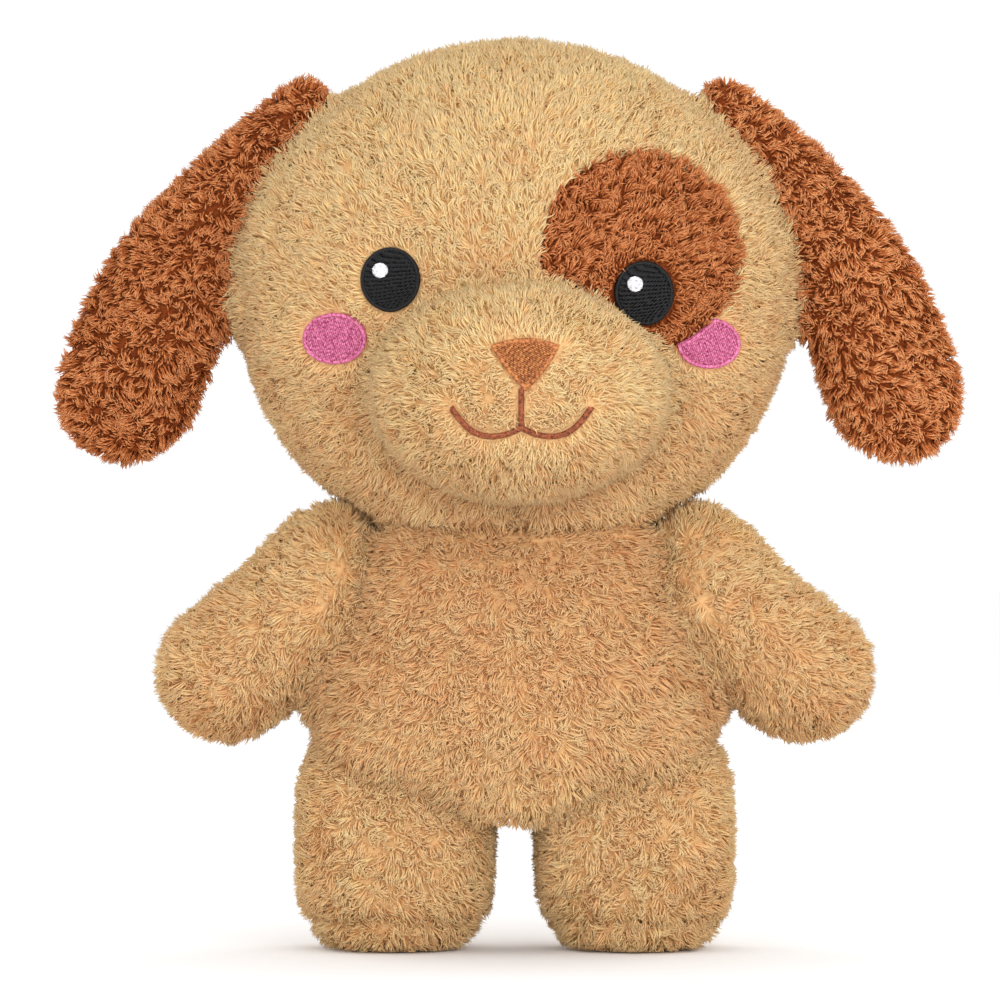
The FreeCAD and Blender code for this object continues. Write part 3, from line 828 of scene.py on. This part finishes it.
def strand_template():
    """Triangles of one closed tapering tuft and the level that each belongs to."""
    triangles, levels = [(0, 2, 1)], [0]
    for ring in range(LEVELS - 1):
        for corner in range(3):
            a, b = 3 * ring + corner, 3 * ring + (corner + 1) % 3
            triangles += [(a, b, b + 3), (a, b + 3, a + 3)]
            levels += [ring, ring]
    last, tip = 3 * (LEVELS - 1), 3 * LEVELS
    for corner in range(3):
        triangles.append((last + corner, last + (corner + 1) % 3, tip))
        levels.append(LEVELS - 1)
    return np.array(triangles), np.array(levels)


TEMPLATE, TEMPLATE_LEVELS = strand_template()
STRAND_VERTS = 3 * LEVELS + 1


def strand_mesh(lines, normals, widths):
    """Vertices of tufts along centre lines, and the way that each is shaded as facing."""
    out = np.empty((len(lines), STRAND_VERTS, 3))
    facing = np.empty_like(out)
    for ring in range(LEVELS):
        ahead = unit(lines[:, ring + 1] - lines[:, max(ring - 1, 0)])
        side = unit(np.cross(ahead, normals) + 1e-9)
        above = np.cross(ahead, side)
        radius = (widths / 2 * RING_SHARE[ring])[:, None]
        for corner in range(3):
            turn = 2 * math.pi * corner / 3 + math.pi / 2
            shift = side * math.cos(turn) + above * (math.sin(turn) * FLATNESS)
            out[:, 3 * ring + corner] = lines[:, ring] + radius * shift
            facing[:, 3 * ring + corner] = shift
    out[:, -1] = lines[:, -1]
    facing[:, -1] = unit(lines[:, -1] - lines[:, -2])
    return out, unit(facing * (1 - SOFT_SHADING) + normals[:, None] * SOFT_SHADING)


def scatter(skin, density, rng):
    """Random roots on a skin: places, normals. density is per square millimetre."""
    triangles = skin["triangles"]
    a, b, c = (skin["places"][triangles[:, k]] for k in range(3))
    area = np.linalg.norm(np.cross(b - a, c - a), axis=1) / 2
    owner = np.repeat(np.arange(len(triangles)), rng.poisson(area / MM**2 * density))
    u, v = rng.random(len(owner)), rng.random(len(owner))
    over = u + v > 1
    u[over], v[over] = 1 - u[over], 1 - v[over]
    weights = np.stack([1 - u - v, u, v], 1)[..., None]
    corners = triangles[owner]
    places = (skin["places"][corners] * weights).sum(1)
    normals = unit((skin["normals"][corners] * weights).sum(1))
    return places, normals


def hidden_share(places, normals, other):
    """1 for places that the other skin covers, 0 for those well clear of it."""
    out = np.zeros(len(places))
    for number, (spot, normal) in enumerate(zip(places, normals)):
        probe = Vector(spot + normal * PROBE_LIFT)
        _, _, _, distance = other.find_nearest(probe, HIDING_REACH)
        if distance is not None:
            out[number] = min(1, (HIDING_REACH - distance) / HIDING_FADE)
    return out


def comb_of(body, places):
    """Way that the pile of a body is combed, before it is laid along the skin."""
    down = np.array([0, 0, -1.0])
    if body == "head":
        way = unit((places - HEAD_MIDDLE - down * 12 * MM) * np.array([1, 0.3, 1]))
        muzzle = oval_distance(places, MUZZLE_MIDDLE, MUZZLE_HALF) < 1.05
        muzzle &= places[:, 1] < SEAM_Y
        round_muzzle = unit((places - MUZZLE_MIDDLE) * np.array([1, 0.2, 1]))
        out = oval_distance(places, MUZZLE_MIDDLE, MUZZLE_HALF)[:, None]
        way[muzzle] = (round_muzzle * (0.25 + 0.8 * out**2))[muzzle]
    elif body == "torso":
        way = unit((places - TORSO_MIDDLE) * np.array([1, 0.3, 0.2])) * 0.5 + down * 0.8
    elif body.startswith("leg"):
        hip = JOINTS[f"{body}_swing"]
        way = unit((places - hip) * np.array([1, 1, 0])) * 0.5 + down * 0.35
    else:
        inward = np.array([-SIDES[body.split("_")[1]], 0, 0.6])
        start = JOINTS[f"{body}_swing"] + inward * COMB_INWARD
        way = unit((places - start) * np.array([1, 0.3, 1])) * 0.75
    return way


def tone_and_painted_shade_of(body, places):
    """How deep the colour of the pile is, from 0, pale, to 1. Part of it is painted shade: towards the head's
    outline, under the muzzle and in a ring round it; and painted light makes the left ear paler.
    """
    x, y, z = places.T
    if body == "head":
        low = np.clip((HEAD_MIDDLE[2] - z) / HEAD_HALF[2], -1, 1)
        edge = np.clip(np.hypot(x / HEAD_HALF[0], (z - HEAD_MIDDLE[2]) / HEAD_HALF[2]), 0, 1)
        # The 0.12 * edge**4 term deepens the pile towards the head's outline: painted shade at its sides.
        warm = 0.3 + 0.24 * np.minimum(low, 0.4) + 0.12 * edge**4
        out = oval_distance(places, MUZZLE_MIDDLE, MUZZLE_HALF)
        under = np.clip((MUZZLE_MIDDLE[2] - z) / MUZZLE_HALF[2], -1, 1)
        # The 0.18 * under term deepens the lower half of the muzzle: painted shade under it.
        on_muzzle = 0.3 + 0.18 * under + 0.12 * ramp(out, 0.7, 1)
        # A deeper ring just outside the muzzle: painted shade in the crease round it.
        crease_shade = warm + 0.12 * np.exp(-(((out - 1) / 0.2) ** 2))
        warm = np.where(y < SEAM_Y, np.where(out < 1.03, on_muzzle, crease_shade), warm)
        in_patch = (y < SEAM_Y) & (oval_distance(places, PATCH_MIDDLE, PATCH_HALF) < 1)
        return np.where(in_patch & (out > 1), 0.6, warm)
    if body == "torso":
        return 0.52 + 0.16 * ramp(z, TORSO_MIDDLE[2] - TORSO_HALF[2], TORSO_MIDDLE[2])
    if body.startswith("arm"):
        return 0.45 + 0.2 * np.clip((JOINTS[f"{body}_swing"][2] - z) / (50 * MM), -1, 1)
    if body.startswith("leg"):
        return np.full(len(places), 0.42)
    # The left ear is paler than the right: painted light, as if lit more from that side.
    return np.full(len(places), 0.3 if "left" in body else 0.5)


# For each kind of body: density per square millimetre, tuft length, tuft width, wildness, spacing
# of the curls and how far a tuft is drawn into its curl.
PILE_STYLE = {
    "torso": (1.9, 6.0 * MM, 0.6 * MM, 0.5, 2.0 * MM, 0.6),
    "head": (1.95, 5.7 * MM, 0.6 * MM, 0.45, 1.9 * MM, 0.56),
    "arm": (1.9, 5.8 * MM, 0.6 * MM, 0.6, 2.0 * MM, 0.6),
    "leg": (1.9, 5.8 * MM, 0.6 * MM, 0.6, 2.0 * MM, 0.6),
    "ear": (2.0, 5.5 * MM, 0.6 * MM, 1.0, 2.1 * MM, 0.6),
}
# Least and most of a tuft's length, as a share of its style's, and of its lean at its root and
# at its tip, in radians. The same for a curl's own line. Then how far each turns as it rises.
TUFT_RANGES = ((0.75, 1.2), (0.15, 0.7), (0.85, 1.55))
CURL_RANGES = ((0.8, 1.15), (0.1, 0.6), (0.8, 1.5))
TUFT_TWIST, CURL_TWIST = 1.2, 1.3
# How much of the way to its curl's line each place of a tuft is drawn, from its root to its tip.
GATHER_ALONG = np.array([0, 0.3, 0.75, 1.0])
MOST_STRANDS = 12000


def pile_roots(body, skin, other, density, rng):
    """Where a body's tufts grow: places, normals, how near each is to the embroidery, which way
    is off it, and how hidden each is."""
    roots, normals = scatter(skin, density, rng)
    hidden = hidden_share(roots, normals, other)
    keep = rng.random(len(roots)) > hidden * HIDDEN_THINNING
    near = np.zeros(len(roots))
    off = np.zeros((len(roots), 3))
    if body == "head":
        face = np.flatnonzero((roots[:, 1] < SEAM_Y) & (normals[:, 1] < 0))
        near[face], off[face], under = clear_of_trims(roots[face], TRIM_REACH)
        keep[face[under]] = False
    return (part[keep] for part in (roots, normals, near, off, hidden))


def curls_of(skin, roots, spacing, rng):
    """Middles of the curls on a skin, their normals, and which curl each tuft is drawn into."""
    centres, normals = scatter(skin, 1 / (spacing / MM) ** 2, rng)
    finder = KDTree(len(centres))
    for number, centre in enumerate(centres):
        finder.insert(centre, number)
    finder.balance()
    return centres, normals, np.array([finder.find(root)[1] for root in roots])


def plant(body, panel, tones, vertices, facing):
    """A panel's tufts as meshes of at most MOST_STRANDS each. tones is each tuft's tone."""
    share = math.ceil(len(tones) / MOST_STRANDS)
    for number, part in enumerate(np.array_split(np.arange(len(tones)), share), start=1):
        starts = np.arange(len(part))[:, None, None] * STRAND_VERTS
        triangles = (TEMPLATE[None] + starts).reshape(-1, 3)
        choice = (tones[part][:, None] * LEVELS + TEMPLATE_LEVELS[None]).ravel()
        name = f"{panel}_pile" if share == 1 else f"{panel}_pile_{number}"
        pile = mesh_object(
            name, vertices[part].reshape(-1, 3), triangles, PILE[palette_of(panel)], choice,
            facing[part].reshape(-1, 3),
        )
        attach(pile, body)


def build_pile(body, skin, other, seed):
    """Plant a body's pile and return how many tufts it has."""
    rng = np.random.default_rng(seed)
    density, length, width, wild, spacing, gather = PILE_STYLE[body.split("_")[0]]
    roots, normals, near, off, hidden = pile_roots(body, skin, other, density, rng)
    centres, centre_normals, curl = curls_of(skin, roots, spacing, rng)
    count, curl_count = len(roots), len(centres)

    def combed_lines(places, facing, stray, ranges, twist, near=0.0, hidden=0.0):
        """Centre lines of tufts that lie along the comb, each a little astray."""
        swirl = waves(places, 22 * MM, seed + 1) * wild * 0.6
        swirl += waves(places, 7 * MM, seed + 2) * wild * 0.45
        comb = comb_of(body, places) + swirl + stray
        along = comb - facing * (comb * facing).sum(1)[:, None]
        firm = 0.4 + 0.6 * np.clip(np.linalg.norm(along, axis=1) / 0.7, 0, 1)
        lengths, root_leans, tip_leans = (rng.uniform(*ends, len(places)) for ends in ranges)
        lengths = length * lengths * (1 - 0.25 * near) * (1 - 0.3 * hidden)
        leans = ((root_leans - 0.1 * near) * firm, tip_leans * firm)
        turns = rng.normal(size=len(places)) * twist
        return strand_lines(places, facing, unit(along), lengths, leans, turns)

    stray = rng.normal(size=(count, 3)) * 0.28 + off * near[:, None] * 5
    lines = combed_lines(roots, normals, stray, TUFT_RANGES, TUFT_TWIST, near, hidden)
    stray = rng.normal(size=(curl_count, 3)) * 0.5
    curl_lines = combed_lines(centres, centre_normals, stray, CURL_RANGES, CURL_TWIST)
    pull = gather * GATHER_ALONG[None, :, None] * (1 - near)[:, None, None]
    lines += (curl_lines[curl] - lines) * pull
    lines[..., 2] = np.maximum(lines[..., 2], SMALLEST_Z + 0.3 * width)

    widths = width * rng.uniform(0.75, 1.3, count)
    vertices, facing = strand_mesh(lines, normals, widths)
    panels = panel_names(body, roots)
    patchy = waves(roots, 16 * MM, seed + 3)[:, 0] * 0.07 + (rng.random(curl_count) * 0.3)[curl]
    depth = tone_and_painted_shade_of(body, roots) + patchy + rng.random(count) * 0.3 - 0.3
    for panel in sorted(set(panels)):
        chosen = np.flatnonzero(panels == panel)
        most = PALETTES[palette_of(panel)]["tones"]
        tones = np.clip((depth[chosen] * most).astype(int), 0, most - 1)
        plant(body, panel, tones, vertices[chosen], facing[chosen])
    return count


# -------- embroidery

THREAD_SIDES = 6
THREAD_FLATNESS = 0.8
FILL_RADIUS = 0.25 * MM
# The stitches round a patch reach this far outside it, and lie this far apart.
RIM_OUTSIDE, RIM_PITCH = 0.1 * MM, 0.34 * MM
# In a fill, each row starts this share of a stitch later than the one before.
ROW_SHIFT = 0.37
# How far a fill's stitches stand up in their middles, and how far their lifts differ.
FILL_ARCH, FILL_UNEVEN = 0.26 * MM, 0.05 * MM


def shrunk(outline, share):
    middle = outline.mean(0)
    return middle + (outline - middle) * share


class Stitching:
    """Threads on the face, gathered into one mesh."""

    def __init__(self, tree):
        self.tree = tree
        self.places = []
        self.triangles = []
        self.count = 0

    def on_face(self, points, lift):
        """Places and normals above the skin under points given across and up."""
        forward = np.array([0, -1, 0])
        spots, facings = [], []
        for (x, z), rise in zip(points, np.broadcast_to(lift, len(points))):
            spot, normal, _, _ = self.tree.ray_cast(Vector((x, -FAR, z)), Vector((0, 1, 0)))
            normal = np.array(-normal if normal.y > 0 else normal)
            spots.append(np.array(spot) + (forward + normal) * rise / 2)
            facings.append(normal)
        return np.array(spots), unit(np.array(facings))

    def add(self, places, triangles):
        self.places.append(places)
        self.triangles.append(triangles + self.count)
        self.count += len(places)

    def stitch(self, points, lift, radius, arch=0.0):
        """One thread over a path, thickest in its middle, with its ends pulled down."""
        share = np.linspace(0, 1, len(points))
        spots, facings = self.on_face(points, lift + arch * np.sin(math.pi * share))
        ahead = unit(np.gradient(spots, axis=0))
        side = unit(np.cross(ahead, facings))
        above = np.cross(side, ahead)
        swell = radius * (0.45 + 0.55 * np.sin(math.pi * np.clip(share, 0.04, 0.96)) ** 0.5)
        turn = np.arange(THREAD_SIDES) * 2 * math.pi / THREAD_SIDES
        ring = side[:, None] * np.cos(turn)[None, :, None]
        ring = ring + above[:, None] * np.sin(turn)[None, :, None] * THREAD_FLATNESS
        places = (spots[:, None] + ring * swell[:, None, None]).reshape(-1, 3)
        triangles = []
        for row in range(len(points) - 1):
            for corner in range(THREAD_SIDES):
                a = row * THREAD_SIDES + corner
                b = row * THREAD_SIDES + (corner + 1) % THREAD_SIDES
                triangles += [(a, b + THREAD_SIDES, b), (a, a + THREAD_SIDES, b + THREAD_SIDES)]
        last = (len(points) - 1) * THREAD_SIDES
        for corner in range(1, THREAD_SIDES - 1):
            triangles += [(0, corner, corner + 1), (last, last + corner + 1, last + corner)]
        self.add(places, np.array(triangles))

    def pad(self, outline, lift, depth, rings=5):
        """Closed pad under the threads, over a star-shaped outline."""
        middle = outline.mean(0)
        shares = np.linspace(0, 1, rings + 1)[1:]
        grid = np.concatenate([middle[None], *(middle + (outline - middle) * s for s in shares)])
        top, facings = self.on_face(grid, lift)
        places = np.concatenate([top, top - facings * depth])
        count, around = len(grid), len(outline)
        triangles = []
        for corner in range(around):
            after = (corner + 1) % around
            triangles.append((0, 1 + corner, 1 + after))
            for ring in range(rings - 1):
                a, b = 1 + ring * around + corner, 1 + ring * around + after
                triangles += [(a, a + around, b + around), (a, b + around, b)]
        under = [(a + count, c + count, b + count) for a, b, c in triangles]
        edge = 1 + (rings - 1) * around
        rim = []
        for corner in range(around):
            a, b = edge + corner, edge + (corner + 1) % around
            rim += [(a, a + count, b + count), (a, b + count, b)]
        self.add(places, np.array(triangles + under + rim))

    def fill(
        self, outline, angle, pitch, run, jitter=0.0, radius=FILL_RADIUS, lift=STITCH_LIFT,
        seed=SEED,
    ):
        """Rows of stitches laid side by side inside an outline, about a run long each."""
        rng = np.random.default_rng(seed)
        turn = np.array([[math.cos(angle), math.sin(angle)], [-math.sin(angle), math.cos(angle)]])
        flat = outline @ turn.T
        low, high = flat[:, 1].min(), flat[:, 1].max()
        for row, level in enumerate(np.arange(low + pitch / 2, high, pitch)):
            ends = []
            for start, end in zip(flat, np.roll(flat, -1, 0)):
                if (start[1] > level) != (end[1] > level):
                    share = (level - start[1]) / (end[1] - start[1])
                    ends.append(start[0] + share * (end[0] - start[0]))
            ends.sort()
            first = ends[0] - run * ((row * ROW_SHIFT) % 1)
            marks = np.arange(first, ends[-1] + run, run)
            marks = marks + rng.normal(size=len(marks)) * jitter
            marks = np.unique(np.clip(marks, ends[0], ends[-1]))
            for start, end in zip(marks, marks[1:]):
                if end - start < radius:
                    continue
                path = np.stack([np.linspace(start, end, 5), np.full(5, level)], 1) @ turn
                rise = lift + rng.uniform(-1, 1) * FILL_UNEVEN
                self.stitch(path, rise, radius, arch=FILL_ARCH)

    def satin(self, path, closed, inner, outer, pitch, radius, lift, arch, slant=0.0):
        """Short stitches side by side across a path, from one edge of the line to the other."""
        loop = np.concatenate([path, path[:1]]) if closed else path
        steps = np.linalg.norm(np.diff(loop, axis=0), axis=1)
        along = np.concatenate([[0], np.cumsum(steps)])
        for distance in np.arange(0, along[-1], pitch):
            here = [np.interp(distance, along, loop[:, k]) for k in range(2)]
            ahead = [np.interp(distance + pitch, along, loop[:, k]) for k in range(2)]
            behind = [np.interp(distance - pitch, along, loop[:, k]) for k in range(2)]
            way = unit(np.array(ahead) - np.array(behind))
            aside = np.array([way[1], -way[0]])
            share = np.linspace(0, 1, 5)[:, None]
            start = np.array(here) - aside * inner - way * slant
            end = np.array(here) + aside * outer + way * slant
            self.stitch(start + (end - start) * share, lift, radius, arch)

    def rim(self, outline, inner, radius, arch, slant=0.0):
        """Satin stitches round the edge of a patch."""
        self.satin(
            outline, True, inner, RIM_OUTSIDE, RIM_PITCH, radius, STITCH_LIFT, arch, slant
        )

    def piece(self, node, thread, slot):
        """Make the threads into the piece that shows a node."""
        places, triangles = np.concatenate(self.places), np.concatenate(self.triangles)
        item = mesh_object(f"{node}_stitching", places, triangles, [THREAD[thread]])
        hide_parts(node)
        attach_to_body(item, "head")


def sew_eye(tree, side):
    eye, outline = Stitching(tree), EYES[side]
    eye.pad(outline, STITCH_LIFT - 0.15 * MM, depth=2.2 * MM)
    eye.fill(shrunk(outline, 0.9), angle=0.5, pitch=0.42 * MM, run=2.6 * MM, jitter=0.15 * MM)
    eye.rim(outline, inner=1.0 * MM, radius=0.22 * MM, arch=0.3 * MM)
    eye.piece(f"eye_{side}", "black", "black_thread")


def sew_cheek(tree, side):
    cheek, outline = Stitching(tree), CHEEKS[side]
    cheek.pad(outline, STITCH_LIFT - 0.3 * MM, depth=2.0 * MM)
    cheek.fill(
        shrunk(outline, 0.88), angle=1.25, pitch=0.5 * MM, run=1.3 * MM, jitter=0.25 * MM,
        lift=STITCH_LIFT - 0.15 * MM,
    )
    cheek.rim(outline, inner=0.9 * MM, radius=0.22 * MM, arch=0.35 * MM)
    cheek.piece(f"cheek_{side}", "pink", "pink_thread")


def sew_highlight(tree, side):
    node = f"eye_highlight_{side}"
    shine, outline = Stitching(tree), oval_outline(node)
    shine.pad(outline, STITCH_LIFT + 0.3 * MM, depth=1.0 * MM)
    shine.fill(
        outline, angle=0.3, pitch=0.36 * MM, run=6 * MM, radius=0.24 * MM,
        lift=STITCH_LIFT + 0.45 * MM, seed=0,
    )
    shine.piece(node, "white", "white_thread")


def sew_nose(tree):
    nose = Stitching(tree)
    nose.pad(NOSE, STITCH_LIFT - 0.2 * MM, depth=2.2 * MM)
    nose.fill(shrunk(NOSE, 0.86), angle=-0.5, pitch=0.5 * MM, run=1.1 * MM, jitter=0.1 * MM)
    nose.rim(NOSE, inner=1.1 * MM, radius=0.2 * MM, arch=0.25 * MM, slant=0.3 * MM)
    nose.piece("nose", "copper", "brown_thread")


def sew_mouth(tree):
    mouth = Stitching(tree)
    half = MOUTH_HALF_WIDTH
    for path in MOUTH:
        mouth.satin(
            path, closed=False, inner=half, outer=half, pitch=0.4 * MM, radius=0.26 * MM,
            lift=STITCH_LIFT, arch=0.35 * MM, slant=0.35 * MM,
        )
    mouth.piece("mouth", "russet", "brown_thread")


def build_embroidery(tree):
    for side in SIDES:
        sew_eye(tree, side)
        sew_cheek(tree, side)
        sew_highlight(tree, side)
    sew_nose(tree)
    sew_mouth(tree)


# -------- filling

FILL_VOXEL = 4 * MM
# How deep the fill lies inside its CAD solid, how much that varies, and how wide its lumps are.
FILL_DEPTH, LUMP_HEIGHT, LUMP_SIZE = 1.6 * MM, 0.8 * MM, 18 * MM


def build_fillings():
    """Lumpy fibre fill inside each skin."""
    for body, node in [(body, node) for body in BODY_NODES for node in stuffing_nodes(body)]:
        item = welded(node.replace("stuffing", "fibre_fill"), [node], 0.0, FILL_VOXEL)
        places = places_of(item.data)
        lumps = waves(places, LUMP_SIZE, SEED + 5)[:, 0]
        depth = FILL_DEPTH + LUMP_HEIGHT * np.clip(lumps, -1, 1)
        set_places(item.data, places - normals_of(item.data) * depth[:, None])
        smooth(item, 0.5, 2)
        item.data.materials.clear()
        item.data.materials.append(FILL)
        item.data.shade_smooth()
        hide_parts(node)
        attach(item, body)


# -------- stage

WORLD_STRENGTH = 1.08
# Place and power of each lamp. Each is a square of this size that faces the toy's middle.
LAMPS = {
    "key": ((0.5, -1.5, 0.55), 10),
    "fill": ((-0.3, -1.6, 0.02), 10),
    "rim_left": ((1.2, 1.2, 0.5), 7),
    "rim_right": ((-1.2, 1.2, 0.5), 7),
}
LAMP_SIZE = 1.0
LAMP_AIM = (0, 0, 0.12)
FLOOR_RADIUS = 7
# The camera looks from straight in front with a long lens, at a square of this width.
CAMERA_PLACE = (-0.0042, -1.7, 0.1261)
VIEW_WIDTH = 0.2778


def build_world():
    world = bpy.data.worlds.new("studio")
    bpy.context.scene.world = world
    world.use_nodes = True
    world.node_tree.nodes["Background"].inputs["Color"].default_value = (1, 1, 1, 1)
    world.node_tree.nodes["Background"].inputs["Strength"].default_value = WORLD_STRENGTH


def build_floor():
    bpy.ops.mesh.primitive_circle_add(vertices=96, radius=FLOOR_RADIUS, fill_type="NGON")
    floor = bpy.context.object
    floor.name = "floor"
    floor.data.materials.append(shader("floor_white", (246, 246, 246), 0.9)[0])


def build_lamps():
    for name, (place, power) in LAMPS.items():
        light = bpy.data.lights.new(name, "AREA")
        light.energy = power
        light.size = LAMP_SIZE
        item = bpy.data.objects.new(name, light)
        item.location = place
        aim = Vector(LAMP_AIM) - Vector(place)
        item.rotation_euler = aim.to_track_quat("-Z", "Y").to_euler()
        bpy.context.scene.collection.objects.link(item)


def build_camera():
    camera = bpy.data.cameras.new("camera")
    camera.lens = camera.sensor_width * (-CAMERA_PLACE[1] - SEAM_Y) / VIEW_WIDTH
    item = bpy.data.objects.new("camera", camera)
    item.location = CAMERA_PLACE
    item.rotation_euler = (math.pi / 2, 0, 0)
    bpy.context.scene.collection.objects.link(item)
    bpy.context.scene.camera = item


def build_stage():
    bpy.context.scene.view_settings.view_transform = "Standard"
    build_world()
    build_floor()
    build_lamps()
    build_camera()


# -------- the whole toy

STUFFING_TREES = {body: stuffing_tree(body) for body in BODY_NODES}
skins = build_skins()
trees = {part: tree_of(skin) for part, skin in skins.items()}
strands = 0
for number, (part, other) in enumerate((("lower", "upper"), ("upper", "lower"))):
    for step, body in enumerate(SEWN[part]):
        skin = skin_of(skins[part], body)
        build_backings(body, skin)
        strands += build_pile(body, skin, trees[other], SEED + 100 * number + 10 * step)
build_embroidery(trees["upper"])
build_fillings()
build_stage()
print(f"{strands} strands")
